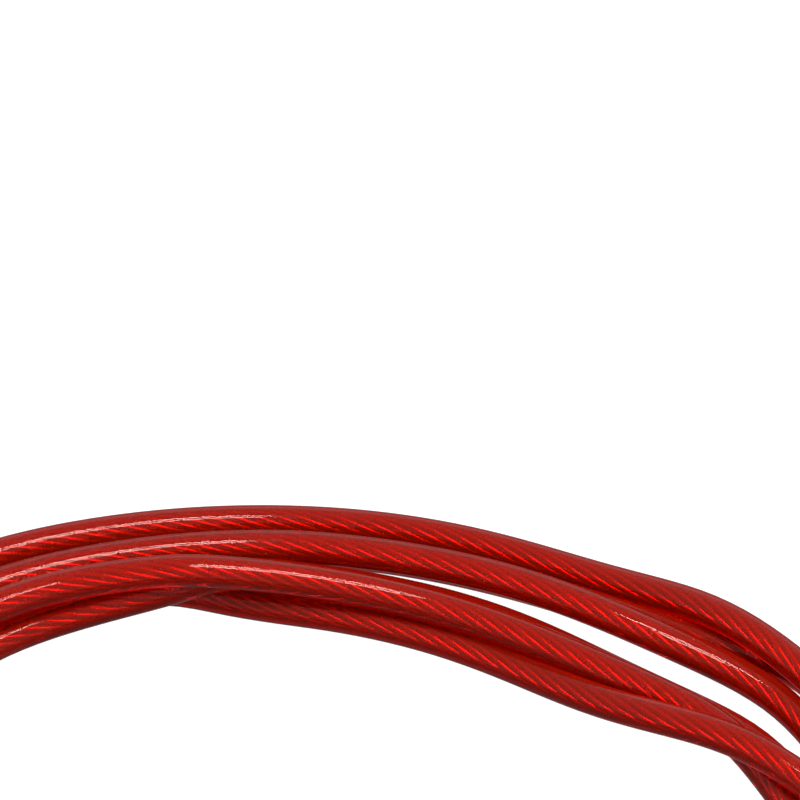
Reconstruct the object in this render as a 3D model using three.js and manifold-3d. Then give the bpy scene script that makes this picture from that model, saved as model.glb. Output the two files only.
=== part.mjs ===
// Combination cable lock for luggage: an in-line three-dial lock body with a toothed locking plug, and a
// jacketed steel cable wound into an oval coil behind it. Millimetres, +Z up, lock along X, resting on z = 0.
import * as THREE from 'three';
import { mergeVertices } from 'three/addons/utils/BufferGeometryUtils.js';
import Module from 'manifold-3d';

const wasm = await Module();
wasm.setup();

// Driving dimensions
const GAP = 0.3; // running gap between neighbouring pieces
const CABLE_D = 3.2; // jacket outside
const ROPE_D = 1.6; // steel rope inside it
const BODY_HALF = 25; // housing half length
const CAP_LENGTH = 5.7; // metal cap at each end of the housing
const BODY_W = 24;
const BODY_H = 20;
const WALL = 1.2;
const AXIS_Z = 11.6; // height of the dial axis
const DIAL_X = [-2, 7, 16];
const DIAL_R = 9.7;
const DIAL_W = 5.4;
const HUB_R = 6.2; // code ring hub, a ten-sided prism
const HUB_W = 8;
const TOOTH_R = 5; // teeth of the locking pin reach this radius
const GATE_W = 2.8; // slots that the teeth pass through
const SLEEVE_R = 3.8;
const SLEEVE_BORE = 2.8;
const PIN_R = 2.4;
const PIN_TIP_X = -6.5;
const BULKHEAD_X = -8.6;
const CAP_END = BODY_HALF + GAP + CAP_LENGTH; // outer face of each cap
const SEGMENTS = 32;

// Solids
function solid(geometry) {
  const bare = geometry.index ? geometry.toNonIndexed() : geometry.clone();
  bare.deleteAttribute('normal');
  bare.deleteAttribute('uv');
  const merged = mergeVertices(bare, 1e-4);
  const vertProperties = new Float32Array(merged.attributes.position.array);
  const triVerts = new Uint32Array(merged.index.array);
  return new wasm.Manifold(new wasm.Mesh({ numProp: 3, vertProperties, triVerts }));
}

function geometryOf(body) {
  const mesh = body.getMesh();
  const geometry = new THREE.BufferGeometry();
  geometry.setAttribute('position', new THREE.BufferAttribute(new Float32Array(mesh.vertProperties), 3));
  geometry.setIndex(new THREE.BufferAttribute(new Uint32Array(mesh.triVerts), 1));
  return geometry;
}

function box(x0, x1, y0, y1, z0, z1) {
  const geometry = new THREE.BoxGeometry(x1 - x0, y1 - y0, z1 - z0);
  geometry.translate((x0 + x1) / 2, (y0 + y1) / 2, (z0 + z1) / 2);
  return solid(geometry);
}

// A turned piece: pairs of (distance along X, radius), about the dial axis.
function turned(points, segments = SEGMENTS) {
  const profile = points.map(([x, r]) => new THREE.Vector2(r, x));
  const geometry = new THREE.LatheGeometry(profile, segments);
  geometry.rotateZ(-Math.PI / 2);
  geometry.translate(0, 0, AXIS_Z);
  return solid(geometry);
}

function rod(x0, x1, radius, segments = SEGMENTS) {
  return turned([[x0, 0], [x0, radius], [x1, radius], [x1, 0]], segments);
}

function ring(x0, x1, inner, outer, segments = SEGMENTS) {
  return turned([[x0, inner], [x0, outer], [x1, outer], [x1, inner], [x0, inner]], segments);
}

function upright(x, y, z0, z1, radius, segments = 16) {
  const geometry = new THREE.CylinderGeometry(radius, radius, z1 - z0, segments);
  geometry.rotateX(Math.PI / 2);
  geometry.translate(x, y, (z0 + z1) / 2);
  return solid(geometry);
}

// The section of the body, extruded along X: a flat bottom, small lower corners and larger upper ones.
function bodySection(inset) {
  const half = BODY_W / 2 - inset;
  const top = BODY_H - inset;
  const low = 1.5 - inset / 2;
  const high = 4.5 - inset / 2;
  const shape = new THREE.Shape();
  shape.moveTo(-half + low, inset);
  shape.lineTo(half - low, inset);
  shape.absarc(half - low, inset + low, low, -Math.PI / 2, 0);
  shape.absarc(half - high, top - high, high, 0, Math.PI / 2);
  shape.absarc(-half + high, top - high, high, Math.PI / 2, Math.PI);
  shape.absarc(-half + low, inset + low, low, Math.PI, Math.PI * 1.5);
  return shape;
}

function bodyBar(x0, x1, inset = 0, bevel = 0) {
  const settings = { depth: x1 - x0 - 2 * bevel, curveSegments: 5, bevelEnabled: bevel > 0 };
  settings.bevelThickness = bevel;
  settings.bevelSize = bevel;
  settings.bevelOffset = -bevel;
  settings.bevelSegments = 2;
  const geometry = new THREE.ExtrudeGeometry(bodySection(inset), settings);
  geometry.translate(0, 0, bevel);
  geometry.rotateX(Math.PI / 2);
  geometry.rotateZ(Math.PI / 2);
  geometry.translate(x0, 0, 0);
  return solid(geometry);
}

// A circle's arc is split into twice its curve segments, hence half the sides here.
function tube(curve, radius, steps, sides) {
  const circle = new THREE.Shape();
  circle.absarc(0, 0, radius, 0, 2 * Math.PI);
  const settings = { steps, extrudePath: curve, bevelEnabled: false, curveSegments: sides / 2 };
  return solid(new THREE.ExtrudeGeometry(circle, settings));
}

// Materials
const finish = (color, roughness, metalness) => ({ color, roughness, metalness });
const GRAPHITE = finish(0x2b2d31, 0.55, 0);
const NICKEL = finish(0xb9bbbd, 0.28, 1);
const STEEL = finish(0x9a9c9f, 0.35, 1);
const BRASS = finish(0xb9964f, 0.35, 1);
const DIAL = finish(0x17181b, 0.4, 0);
const IVORY = finish(0xe8e6df, 0.45, 0);
const RED_JACKET = finish(0x8c0d08, 0.12, 0);
const BLACK_RUBBER = finish(0x1b1b1d, 0.7, 0);

const lock = new THREE.Group();

function add(name, body, look, parent = lock) {
  const geometry = body instanceof THREE.BufferGeometry ? body : geometryOf(body);
  geometry.computeVertexNormals();
  const material = new THREE.MeshStandardMaterial(look);
  const mesh = new THREE.Mesh(geometry, material);
  mesh.name = name;
  parent.add(mesh);
  return mesh;
}

// Housing: two hollow shells that meet at the dial axis.
const SCREW_SPOTS = [[-21.5, -8.3], [-21.5, 8.3], [22.4, -8.3], [22.4, 8.3]];
const SCREW_R = 1;
const SCREW_HEAD_R = 1.9;
const POST_R = 2.6;

const RESET_X = -17; // middle of the setting slider
const RESET_TRAVEL = 2;

function housing() {
  let shell = bodyBar(-BODY_HALF, BODY_HALF).subtract(bodyBar(-BODY_HALF + WALL, BODY_HALF - WALL, WALL));
  shell = shell.add(box(BULKHEAD_X - 1, BULKHEAD_X + 1, -10.8, 10.8, 1, BODY_H - 1));
  for (const [x, y] of SCREW_SPOTS) {
    shell = shell.add(upright(x, y, 1, BODY_H - 1, POST_R));
  }
  shell = shell.intersect(bodyBar(-BODY_HALF, BODY_HALF));
  shell = shell.subtract(rod(-CAP_END, CAP_END, SLEEVE_R + GAP));
  shell = shell.subtract(box(BODY_HALF - 3, CAP_END, -GATE_W / 2, GATE_W / 2, AXIS_Z, AXIS_Z + TOOTH_R + GAP));
  return shell;
}

function housingLower() {
  let half = housing().intersect(box(-40, 40, -20, 20, -1, AXIS_Z - GAP / 2));
  for (const [x, y] of SCREW_SPOTS) {
    half = half.subtract(upright(x, y, -1, AXIS_Z, SCREW_R + GAP));
    half = half.subtract(upright(x, y, -1, 1.8, SCREW_HEAD_R + GAP));
  }
  return half;
}

function housingUpper() {
  let half = housing().intersect(box(-40, 40, -20, 20, AXIS_Z + GAP / 2, 40));
  const slot = DIAL_W / 2 + GAP;
  for (const x of DIAL_X) {
    half = half.subtract(box(x - slot, x + slot, -7.9, 7.9, BODY_H - 3, BODY_H + 1));
  }
  for (const [x, y] of SCREW_SPOTS) {
    half = half.subtract(upright(x, y, AXIS_Z - 1, BODY_H - 2.4, SCREW_R + GAP));
  }
  const reach = RESET_TRAVEL + GAP;
  half = half.subtract(box(RESET_X - 3 - GAP, RESET_X + 3 + reach, -2.3, 2.3, BODY_H - 3, BODY_H + 1));
  half = half.subtract(box(BULKHEAD_X + 1.2, BULKHEAD_X + 2.8, -2.8, 2.8, BODY_H - 0.5, BODY_H + 1));
  return half;
}

add('housing_lower', housingLower(), GRAPHITE);
add('housing_upper', housingUpper(), GRAPHITE);

for (const [index, [x, y]] of SCREW_SPOTS.entries()) {
  const head = upright(x, y, 0.4, 1.5, SCREW_HEAD_R);
  const drive = box(x - 1.2, x + 1.2, y - 0.25, y + 0.25, 0.2, 0.8);
  const screw = upright(x, y, 1.2, BODY_H - 4.2, SCREW_R, 12).add(head).subtract(drive);
  add(`housing_screw_${index + 1}`, screw, STEEL);
}

const markZ = BODY_H - 0.5 + GAP / 2;
const mark = box(BULKHEAD_X + 1.5, BULKHEAD_X + 2.5, -2.5, 2.5, markZ, BODY_H);
add('index_mark', mark, IVORY);

// End caps
const CAP_BEVEL = 1.2;

function endCap(side) {
  const inner = BODY_HALF + GAP;
  const [x0, x1] = side > 0 ? [inner, CAP_END] : [-CAP_END, -inner];
  return bodyBar(x0, x1, 0, CAP_BEVEL);
}

const BOOT_SEAT_R = 3.4;
const fixedCap = endCap(-1).subtract(rod(-CAP_END - 1, -BODY_HALF, BOOT_SEAT_R));
add('end_cap_fixed', fixedCap, NICKEL);

const keyway = box(BODY_HALF, CAP_END + 1, -GATE_W / 2, GATE_W / 2, AXIS_Z, AXIS_Z + TOOTH_R + GAP);
const SEAL_DEPTH = 1.2;
let socketCap = endCap(1).subtract(rod(BODY_HALF, CAP_END + 1, PIN_R + 2 * GAP)).subtract(keyway);
socketCap = socketCap.subtract(ring(CAP_END - SEAL_DEPTH, CAP_END + 1, 5.6, 7.2));
add('end_cap_socket', socketCap, NICKEL);
add('socket_seal', ring(CAP_END - SEAL_DEPTH + GAP, CAP_END - 0.1, 5.6 + GAP, 7.2 - GAP), BLACK_RUBBER);

// Core sleeve: the slotted tube that the locking pin slides in
const SLEEVE_START = -22;
const SLEEVE_END = BODY_HALF - 0.2;
const slotBox = box(PIN_TIP_X - 2, 30, -GATE_W / 2, GATE_W / 2, AXIS_Z, AXIS_Z + TOOTH_R + 1);
let sleeve = ring(SLEEVE_START, SLEEVE_END, SLEEVE_BORE, SLEEVE_R);
sleeve = sleeve.subtract(slotBox);
add('core_sleeve', sleeve, STEEL);

// Dials and their code rings. A code ring is a hub with one web; the web has one gate for the teeth.
const WEB = 1.4;
const SIDES = 10;

function codeRing(x) {
  const x0 = x - HUB_W / 2 + 0.25;
  const x1 = x + HUB_W / 2 - 0.25;
  const hub = ring(x0, x1, TOOTH_R + 0.3, HUB_R, SIDES * 2);
  const web = ring(x1 - WEB, x1, SLEEVE_R + GAP, TOOTH_R + 0.8, SIDES * 4);
  const gate = box(x, x1 + 1, -GATE_W / 2, GATE_W / 2, AXIS_Z + SLEEVE_R - 1, AXIS_Z + TOOTH_R + GAP);
  return hub.add(web).subtract(gate);
}

function dial(x) {
  const bevel = 0.5;
  const [x0, x1] = [x - DIAL_W / 2, x + DIAL_W / 2];
  const inner = HUB_R + 0.1;
  const profile = [[x0, inner], [x0, DIAL_R - bevel], [x0 + bevel, DIAL_R]];
  profile.push([x1 - bevel, DIAL_R], [x1, DIAL_R - bevel], [x1, inner], [x0, inner]);
  let wheel = turned(profile, SIDES * 4);
  for (let k = 0; k < SIDES; k++) {
    const turn = ((k + 0.5) * 2 * Math.PI) / SIDES;
    const groove = new THREE.CylinderGeometry(0.7, 0.7, DIAL_W + 1, 8);
    groove.rotateZ(-Math.PI / 2);
    groove.translate(x, (DIAL_R + 0.1) * Math.sin(turn), AXIS_Z + (DIAL_R + 0.1) * Math.cos(turn));
    wheel = wheel.subtract(solid(groove));
  }
  return wheel;
}

for (const [index, x] of DIAL_X.entries()) {
  add(`dial_${index + 1}`, dial(x), DIAL);
  add(`code_ring_${index + 1}`, codeRing(x), BRASS);
}
for (let k = 0; k < 2; k++) {
  const middle = (DIAL_X[k] + DIAL_X[k + 1]) / 2;
  add(`ring_spacer_${k + 1}`, ring(middle - 0.4, middle + 0.4, TOOTH_R + 0.3, HUB_R), STEEL);
}
const washerX = DIAL_X[2] + HUB_W / 2 + 0.1;
add('thrust_washer', ring(washerX, washerX + 0.6, TOOTH_R + 0.3, HUB_R - 0.3), STEEL);

// Detent spring: a comb of three fingers on one strip, along the wall beside the dials
const STRIP_Y = -10.5;
const STRIP_T = 0.4;
let comb = box(DIAL_X[0] - 4, DIAL_X[2] + 3, STRIP_Y, STRIP_Y + STRIP_T, AXIS_Z - 6, AXIS_Z - 1);
for (const x of DIAL_X) {
  const [x0, x1] = [x - DIAL_W / 2 - 0.95, x - DIAL_W / 2 - 0.35];
  comb = comb.add(box(x0, x1, STRIP_Y, -HUB_R - 0.4, AXIS_Z - 2.2, AXIS_Z - 1.4));
}
add('detent_spring', comb, STEEL);

// Ejector and its spring, in the sleeve behind the pin
const EJECTOR_TRAVEL = 3;
const EJECTOR_X = PIN_TIP_X - GAP;
add('ejector', rod(EJECTOR_X - 3.5, EJECTOR_X, SLEEVE_BORE - GAP), BRASS);

class Helix extends THREE.Curve {
  constructor(x0, x1, radius, turns) {
    super();
    Object.assign(this, { x0, x1, radius, turns });
  }

  getPoint(t) {
    const angle = t * this.turns * 2 * Math.PI;
    const y = this.radius * Math.cos(angle);
    const z = AXIS_Z + this.radius * Math.sin(angle);
    return new THREE.Vector3(this.x0 + (this.x1 - this.x0) * t, y, z);
  }
}

const FERRULE_END = -18.6; // inner end of the ferrule on the fixed rope
const springCurve = new Helix(FERRULE_END + 0.9, EJECTOR_X - 3.5 - 0.6, 1.9, 5);
add('ejector_spring', tube(springCurve, 0.3, 50, 6), STEEL);

// Setting slider, on the top near the fixed end
let slider = box(RESET_X - 3, RESET_X + 3, -2, 2, BODY_H - 2.6, BODY_H + 0.8);
for (let k = -1; k <= 1; k++) {
  slider = slider.subtract(box(RESET_X + 1.6 * k - 0.3, RESET_X + 1.6 * k + 0.3, -3, 3, BODY_H + 0.4, BODY_H + 2));
}
add('reset_slider', slider, NICKEL);

// Fixed end of the cable: the ferrule inside the body, the boot outside it
const ROPE_GAP = 0.3;
const ferrule = rod(-BODY_HALF + 0.6, FERRULE_END, SLEEVE_BORE - GAP);
add('cable_ferrule', ferrule, STEEL);

const BOOT_LENGTH = 13;
function boot(from, direction, seat) {
  const at = (s) => from + direction * s;
  const points = [
    [at(-seat), 0],
    [at(-seat), BOOT_SEAT_R - GAP],
    [at(GAP), BOOT_SEAT_R - GAP],
    [at(GAP), 4.4],
    [at(2), 4.4],
    [at(3), 3.6],
    [at(8), 2.9],
    [at(BOOT_LENGTH), 2.3],
    [at(BOOT_LENGTH), 0],
  ];
  return turned(direction > 0 ? points : points.reverse(), 24);
}
add('cable_boot', boot(-CAP_END, -1, 4), BLACK_RUBBER);

// Plug: the pin with three teeth, the grip, the ferrule crimped on the rope, and the boot
const plug = new THREE.Group();
lock.add(plug);
const PLUG_LENGTH = 19;
const PLUG_X0 = CAP_END + GAP;
const PLUG_X1 = PLUG_X0 + PLUG_LENGTH;
const PIN_END = PLUG_X0 + 8; // the pin's root, buried in the grip
const FERRULE_R = 2;

let pin = turned([[PIN_TIP_X, 0], [PIN_TIP_X, PIN_R - 0.8], [PIN_TIP_X + 0.8, PIN_R], [PIN_END, PIN_R], [PIN_END, 0]]);
for (const x of DIAL_X) {
  pin = pin.add(box(x - 0.9, x + 0.9, -0.9, 0.9, AXIS_Z + PIN_R - 1, AXIS_Z + TOOTH_R));
}
add('plug_pin', pin, STEEL, plug);

const grip = [
  [PLUG_X0, 0],
  [PLUG_X0, 7.2],
  [PLUG_X0 + 1.2, 8],
  [PLUG_X0 + 5, 8],
  [PLUG_X0 + 7, 7],
  [PLUG_X0 + 12, 6.6],
  [PLUG_X1 - 2, 6.4],
  [PLUG_X1, 5],
  [PLUG_X1, 0],
];
let plugBody = turned(grip);
plugBody = plugBody.subtract(rod(PLUG_X0 - 1, PIN_END + GAP, PIN_R + GAP));
plugBody = plugBody.subtract(rod(PIN_END + 1, PLUG_X1 + 1, BOOT_SEAT_R));
add('plug_body', plugBody, NICKEL, plug);
const PLUG_BOOT_SEAT = 4;
add('plug_ferrule', rod(PIN_END + 1 + GAP, PLUG_X1 - PLUG_BOOT_SEAT - GAP, FERRULE_R + 0.9), STEEL, plug);
add('plug_boot', boot(PLUG_X1, 1, PLUG_BOOT_SEAT), BLACK_RUBBER, plug);

// Cable. The coil is an oval: its radius of curvature swells from SIDE_R to FLAT_R where the cable runs nearly
// along X, at the far side and at the near side.
const R = CABLE_D / 2;
const FLAT_R = 89.6;
const SIDE_R = 46;
const COIL_CENTRE = [11, 80];
const COIL_H = 3.1 * CABLE_D;
const COIL_BAND = 5.2 * CABLE_D; // width of the bundle of turns
const TILT = -0.09; // heading at the middle of the flat stretch
const OVAL_STEPS = 72;

function curvatureRadius(heading) {
  const flat = Math.cos(heading - TILT) ** 2;
  return SIDE_R + (FLAT_R - SIDE_R) * THREE.MathUtils.smoothstep(flat, 0.6, 0.84);
}

// Points of the coil's outline, clockwise from the left side, moved inwards by the inset.
function ovalOutline(inset) {
  const points = [];
  let [x, y] = [0, 0];
  const fine = 10;
  const step = (2 * Math.PI) / (OVAL_STEPS * fine);
  for (let k = 0; k < OVAL_STEPS * fine; k++) {
    const heading = Math.PI / 2 - (k + 0.5) * step;
    if (k % fine === 0) {
      points.push([x, y, Math.PI / 2 - k * step]);
    }
    x += curvatureRadius(heading) * step * Math.cos(heading);
    y += curvatureRadius(heading) * step * Math.sin(heading);
  }
  const mean = (i) => points.reduce((sum, point) => sum + point[i], 0) / points.length;
  const [mx, my] = [mean(0), mean(1)];
  return points.map(([px, py, heading]) => new THREE.Vector2(
    px - mx + COIL_CENTRE[0] + inset * Math.sin(heading),
    py - my + COIL_CENTRE[1] - inset * Math.cos(heading),
  ));
}

function ovalSlab(inset, z0, z1) {
  const geometry = new THREE.ExtrudeGeometry(new THREE.Shape(ovalOutline(inset)), {
    depth: z1 - z0,
    bevelEnabled: false,
  });
  geometry.translate(0, 0, z0);
  return solid(geometry);
}

const coil = ovalSlab(0, 0, COIL_H).subtract(ovalSlab(COIL_BAND, -1, COIL_H + 1));
add('cable_coil', coil, RED_JACKET);

function cable(name, points) {
  const curve = new THREE.CatmullRomCurve3(points.map((p) => new THREE.Vector3(...p)), false, 'centripetal');
  const steps = Math.round(curve.getLength() / (2.5 * CABLE_D));
  add(name, tube(curve, R, steps, 8), RED_JACKET);
}

const leadX = -CAP_END - BOOT_LENGTH - GAP;
cable('cable_lead', [
  [leadX, 0, AXIS_Z],
  [leadX - 5, 0.1, AXIS_Z - 0.3],
  [leadX - 11, 1.6, 9.6],
  [leadX - 17, 5.4, 6.6],
  [leadX - 22, 11.8, 4],
  [leadX - 24.8, 20, 2.3],
  [leadX - 25.3, 30, R],
  [leadX - 23.6, 41, R],
  [leadX - 20.6, 52, R],
  [leadX - 17.4, 62, R],
  [leadX - 14.6, 70.5, R],
]);

const tailX = PLUG_X1 + BOOT_LENGTH + GAP;
cable('cable_tail', [
  [tailX, 0, AXIS_Z],
  [tailX + 5, 0.1, AXIS_Z - 0.3],
  [tailX + 11, 1.6, 9.6],
  [tailX + 17, 5.4, 6.6],
  [tailX + 22, 11.8, 4],
  [tailX + 25, 20, 2.3],
  [tailX + 25.8, 30, R],
  [tailX + 24.6, 41, R],
  [tailX + 22.3, 52, R],
  [tailX + 19.8, 62, R],
  [tailX + 17.7, 70.5, R],
]);

export default lock;
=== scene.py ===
"""Cable luggage lock: a three-dial lock body with a toothed plug, and a red jacketed steel cable wound in an oval
coil behind it. The CAD frame gives every place; this script adds the cable, the fine surfaces and the materials."""

import math

import bmesh
import bpy
import numpy as np
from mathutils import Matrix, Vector


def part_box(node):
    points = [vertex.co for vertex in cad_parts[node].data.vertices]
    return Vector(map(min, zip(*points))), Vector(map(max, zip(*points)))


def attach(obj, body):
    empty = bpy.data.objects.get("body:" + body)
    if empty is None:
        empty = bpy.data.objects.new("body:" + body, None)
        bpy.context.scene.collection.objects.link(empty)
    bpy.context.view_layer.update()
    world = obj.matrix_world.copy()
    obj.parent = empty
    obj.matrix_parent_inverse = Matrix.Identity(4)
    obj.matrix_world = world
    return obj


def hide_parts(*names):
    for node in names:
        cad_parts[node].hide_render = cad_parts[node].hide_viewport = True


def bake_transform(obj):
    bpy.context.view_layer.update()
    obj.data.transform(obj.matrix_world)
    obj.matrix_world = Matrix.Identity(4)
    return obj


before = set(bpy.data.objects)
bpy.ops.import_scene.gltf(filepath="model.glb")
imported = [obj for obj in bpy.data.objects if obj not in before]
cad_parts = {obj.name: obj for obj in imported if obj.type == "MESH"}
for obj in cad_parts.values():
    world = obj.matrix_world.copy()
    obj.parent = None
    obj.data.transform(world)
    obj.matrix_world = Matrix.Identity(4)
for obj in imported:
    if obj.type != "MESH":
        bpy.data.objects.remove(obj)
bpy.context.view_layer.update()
MM = 0.001
FULL_TURN = 2 * math.pi

# The cable, in metres
CABLE_D = 3.2 * MM
CABLE_R = CABLE_D / 2
ROPE_D = 1.6 * MM
ROPE_LAY = 4.1 * CABLE_D  # one full turn of the rope's strands
OUTER_STRANDS = 6
JACKET_STEP = 1.6 * MM
JACKET_SIDES = 24
ROPE_STEP = 0.8 * MM
STRAND_SIDES = 8

# The coil's oval outline: its radius of curvature swells where the cable runs nearly along X
FLAT_R = 89.6 * MM
SIDE_R = 46 * MM
FLAT_FROM, FLAT_TO = 0.6, 0.84  # squared cosine of the heading, where the swelling starts and is complete
OVAL_TILT = -0.09

# Each turn across the far side of the coil, at these headings in degrees: how far it lies inside the outline, and
# how high its centre is, both in cable diameters. The fixed end starts the first turn.
HEADINGS = (18, 9, 0, -9, -18, -27, -31.5, -36, -46)
TURNS = (
    (
        (0.50, 0.50, 0.50, 0.50, 0.58, 1.38, 1.52, 0.98, 0.20),
        (0.50, 0.50, 0.50, 0.50, 0.50, 0.50, 0.75, 1.00, 1.40),
    ),
    (
        (1.46, 1.49, 1.53, 1.60, 1.91, 1.81, 1.38, 0.48, 0.00),
        (0.50, 0.50, 0.50, 0.50, 0.50, 0.50, 0.50, 0.50, 0.50),
    ),
    (
        (2.28, 1.93, 1.99, 2.10, 2.11, 2.34, 2.34, 1.62, 0.90),
        (1.37, 1.37, 1.37, 1.30, 1.35, 1.05, 0.90, 0.75, 0.50),
    ),
    (
        (3.40, 3.40, 3.14, 2.82, 2.98, 4.18, 4.42, 3.92, 2.50),
        (0.50, 1.10, 1.30, 0.50, 0.50, 0.50, 0.50, 0.50, 0.50),
    ),
    (
        (3.05, 3.22, 3.74, 3.42, 4.04, 5.08, 4.97, 4.12, 2.70),
        (2.00, 2.00, 2.15, 1.30, 1.15, 1.20, 1.32, 1.45, 1.50),
    ),
    (
        (2.50, 2.75, 3.55, 4.20, 4.18, 5.34, 5.54, 5.02, 3.60),
        (0.50, 0.50, 0.50, 0.50, 0.50, 1.20, 1.70, 2.20, 2.45),
    ),
)
# The coil's two ends: turning angle, inset and height, where the lead comes in and where the tail goes out
COIL_START = (0.2, 0.45, 0.5)
COIL_END = (len(TURNS) * FULL_TURN - math.pi - 0.12, 0.6, 0.9)
HELD_MARGIN = 8  # degrees before the first heading from which a turn is held in its place
COIL_POINTS = 2400
COIL_SOFTENING = 24  # passes that round off the corners between the headings

# The settling of the cable onto the floor and onto itself
NEIGHBOUR = 8 * CABLE_D
PAIR_REACH = 1.6 * CABLE_D
KEPT_APART = 1.005 * CABLE_D
SINK_STEP = 0.004 * CABLE_D
FAR_SIDE_FREEDOM = 0.12

# The cable's free routes, in millimetres, as in the CAD source. Each starts 3 mm inside its boot.
AXIS_Z = 11.6
LEAD_X = -44.3
TAIL_X = 63.6
LEAD = (
    (LEAD_X + 3, 0, AXIS_Z),
    (LEAD_X, 0, AXIS_Z),
    (LEAD_X - 5, 0.1, AXIS_Z - 0.3),
    (LEAD_X - 11, 1.6, 9.6),
    (LEAD_X - 17, 5.4, 6.6),
    (LEAD_X - 22, 11.8, 4),
    (LEAD_X - 24.8, 20, 2.3),
    (LEAD_X - 25.3, 30, 1.6),
    (LEAD_X - 23.6, 41, 1.6),
    (LEAD_X - 20.6, 52, 1.6),
    (LEAD_X - 17.4, 62, 1.6),
    (LEAD_X - 14.6, 70.5, 1.6),
)
TAIL = (
    (TAIL_X - 3, 0, AXIS_Z),
    (TAIL_X, 0, AXIS_Z),
    (TAIL_X + 5, 0.1, AXIS_Z - 0.3),
    (TAIL_X + 11, 1.6, 9.6),
    (TAIL_X + 17, 5.4, 6.6),
    (TAIL_X + 22, 11.8, 4),
    (TAIL_X + 25, 20, 2.3),
    (TAIL_X + 25.8, 30, 1.6),
    (TAIL_X + 24.6, 41, 1.6),
    (TAIL_X + 22.3, 52, 1.6),
    (TAIL_X + 19.8, 62, 1.6),
    (TAIL_X + 17.7, 70.5, 1.6),
)


# ---------------------------------------------------------------- routes


def spline(points, values, where):
    """A natural cubic spline through rows of values at rising points, read at where."""
    points, values = np.asarray(points, float), np.asarray(values, float)
    gap = np.diff(points)
    slope = np.diff(values, axis=0) / gap.reshape(-1, *[1] * (values.ndim - 1))
    count = len(points)
    matrix = np.eye(count)
    right = np.zeros_like(values)
    inner = np.arange(1, count - 1)
    matrix[inner, inner - 1] = gap[:-1]
    matrix[inner, inner] = 2 * (gap[:-1] + gap[1:])
    matrix[inner, inner + 1] = gap[1:]
    right[1:-1] = 6 * np.diff(slope, axis=0)
    bend = np.linalg.solve(matrix, right)
    k = np.clip(np.searchsorted(points, where) - 1, 0, count - 2)
    shape = (-1, *[1] * (values.ndim - 1))
    step, t = gap[k].reshape(shape), (where - points[k]).reshape(shape)
    back = step - t
    return (
        (bend[k] * back**3 + bend[k + 1] * t**3) / (6 * step)
        + (values[k] / step - bend[k] * step / 6) * back
        + (values[k + 1] / step - bend[k + 1] * step / 6) * t
    )


def along(points):
    """Distance along a line of points, from its start."""
    return np.concatenate([[0], np.cumsum(np.linalg.norm(np.diff(points, axis=0), axis=1))])


def resampled(points, step):
    """The same line with points a step apart."""
    points = np.asarray(points, float)
    distance = along(points)
    count = max(2, round(distance[-1] / step) + 1)
    return spline(distance, points, np.linspace(0, distance[-1], count))


class Oval:
    """The coil's outline, clockwise from its left side, as points by turning angle."""

    def __init__(self, corners, steps=3600):
        self.turning = np.linspace(0, FULL_TURN, steps + 1)
        heading = math.pi / 2 - self.turning
        flat = np.cos(heading - OVAL_TILT) ** 2
        share = np.clip((flat - FLAT_FROM) / (FLAT_TO - FLAT_FROM), 0, 1)
        radius = SIDE_R + (FLAT_R - SIDE_R) * share * share * (3 - 2 * share)
        middle = (heading[1:] + heading[:-1]) / 2
        length = (radius[1:] + radius[:-1]) / 2 * FULL_TURN / steps
        moves = length[:, None] * np.stack([np.cos(middle), np.sin(middle)], 1)
        points = np.concatenate([[[0, 0]], np.cumsum(moves, axis=0)])
        centre = (np.array(corners[0][:2]) + np.array(corners[1][:2])) / 2
        self.points = points + centre - (points.min(0) + points.max(0)) / 2

    def at(self, turning, inset):
        """Points moved inwards from the outline, at turning angles of any number of turns."""
        around = np.mod(turning, FULL_TURN)
        heading = math.pi / 2 - around
        x = np.interp(around, self.turning, self.points[:, 0]) + inset * np.sin(heading)
        y = np.interp(around, self.turning, self.points[:, 1]) - inset * np.cos(heading)
        return np.stack([x, y], 1)


def coil_route(oval):
    """Points of the coil, and whether each is on the far side, where its place is set by TURNS."""
    keys = [COIL_START]
    for k, (insets, heights) in enumerate(TURNS):
        turning = [k * FULL_TURN + math.radians(90 - h) for h in HEADINGS]
        keys += zip(turning, insets, heights)
    keys.append(COIL_END)
    keys = np.array(keys)
    where = np.linspace(keys[0, 0], keys[-1, 0], COIL_POINTS)
    heading = np.mod(math.pi / 2 - where + math.pi, FULL_TURN) - math.pi
    held = (heading < math.radians(HEADINGS[0] + HELD_MARGIN)) & (heading > math.radians(HEADINGS[-1]))
    inset = softened(np.interp(where, keys[:, 0], keys[:, 1]), COIL_SOFTENING)
    height = softened(np.interp(where, keys[:, 0], keys[:, 2]), COIL_SOFTENING)
    flat = oval.at(where, inset * CABLE_D)
    return np.column_stack([flat, height * CABLE_D]), held


def softened(values, passes):
    """Values smoothed along the line, with both ends kept."""
    for _ in range(passes):
        values = values.copy()
        values[1:-1] = (values[:-2] + 2 * values[1:-1] + values[2:]) / 4
    return values


def near_pairs(points, reach, apart):
    """Pairs of points within reach of each other that are at least so many points apart along the line."""
    first, second = [], []
    batch = 400
    for start in range(0, len(points), batch):
        some = points[start : start + batch]
        distance = np.linalg.norm(some[:, None] - points[None], axis=2)
        i, j = np.nonzero(distance < reach)
        i += start
        keep = j - i >= apart
        first.append(i[keep])
        second.append(j[keep])
    return np.concatenate(first), np.concatenate(second)


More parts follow.
